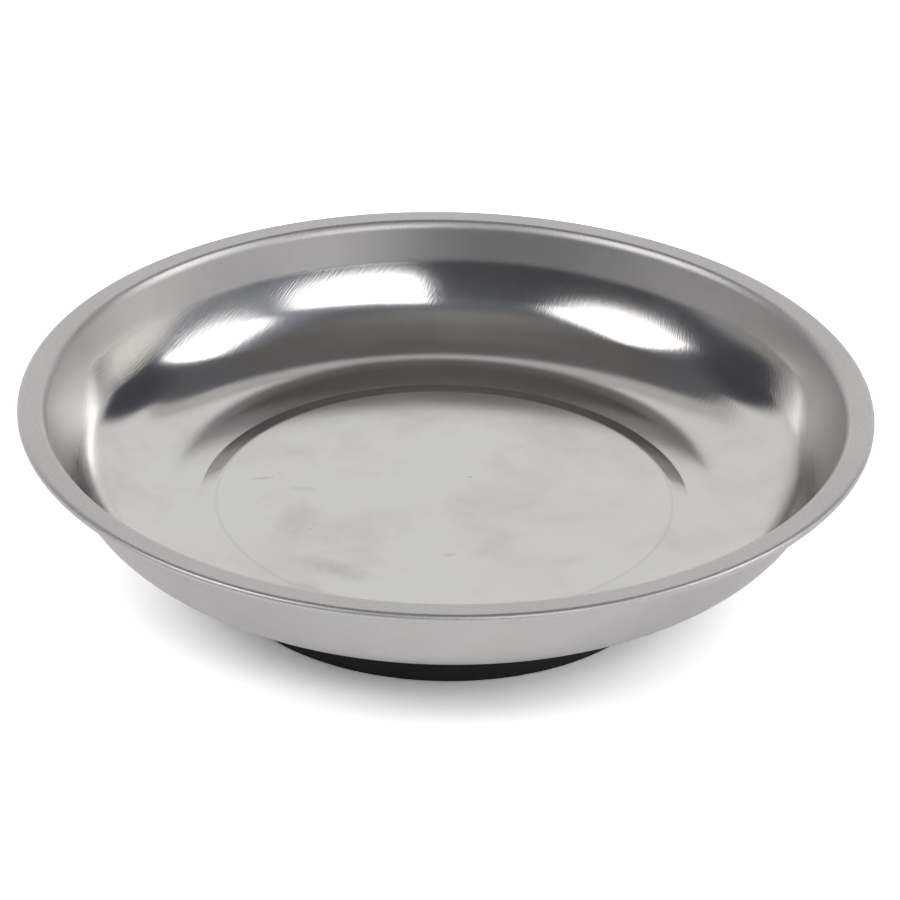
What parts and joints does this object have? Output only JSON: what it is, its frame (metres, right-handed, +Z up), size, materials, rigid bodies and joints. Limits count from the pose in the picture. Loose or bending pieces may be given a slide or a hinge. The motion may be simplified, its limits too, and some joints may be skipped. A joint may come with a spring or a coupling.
{
  "type": "magnetic parts tray",
  "caption": "Round pressed stainless dish with a folded rim and a raised pad in its floor, standing on a ring magnet in a black rubber boot; holds small steel parts while a job is done.",
  "frame": {"origin": "centre of the boot's underside, on the surface that the tray stands on", "axes": "+Z up along the axis of the dish, out of its mouth; +X and +Y are any two directions along the table, because the tray is round"},
  "size_m": [0.15, 0.15, 0.0335],
  "materials": {
    "stainless": "satin",
    "plated_steel": "satin",
    "spring_steel": "satin",
    "ferrite": "matte",
    "adhesive": "matte",
    "black_rubber": "matte"
  },
  "bodies": {
    "root": {"dish": "stainless", "weld_stud": "plated_steel", "bond_ring": "adhesive", "ring_magnet": "ferrite", "clamp_cup": "plated_steel", "plain_washer": "plated_steel", "spring_washer": "spring_steel", "hex_nut": "plated_steel", "rubber_boot": "black_rubber"}
  },
  "joints": []
}
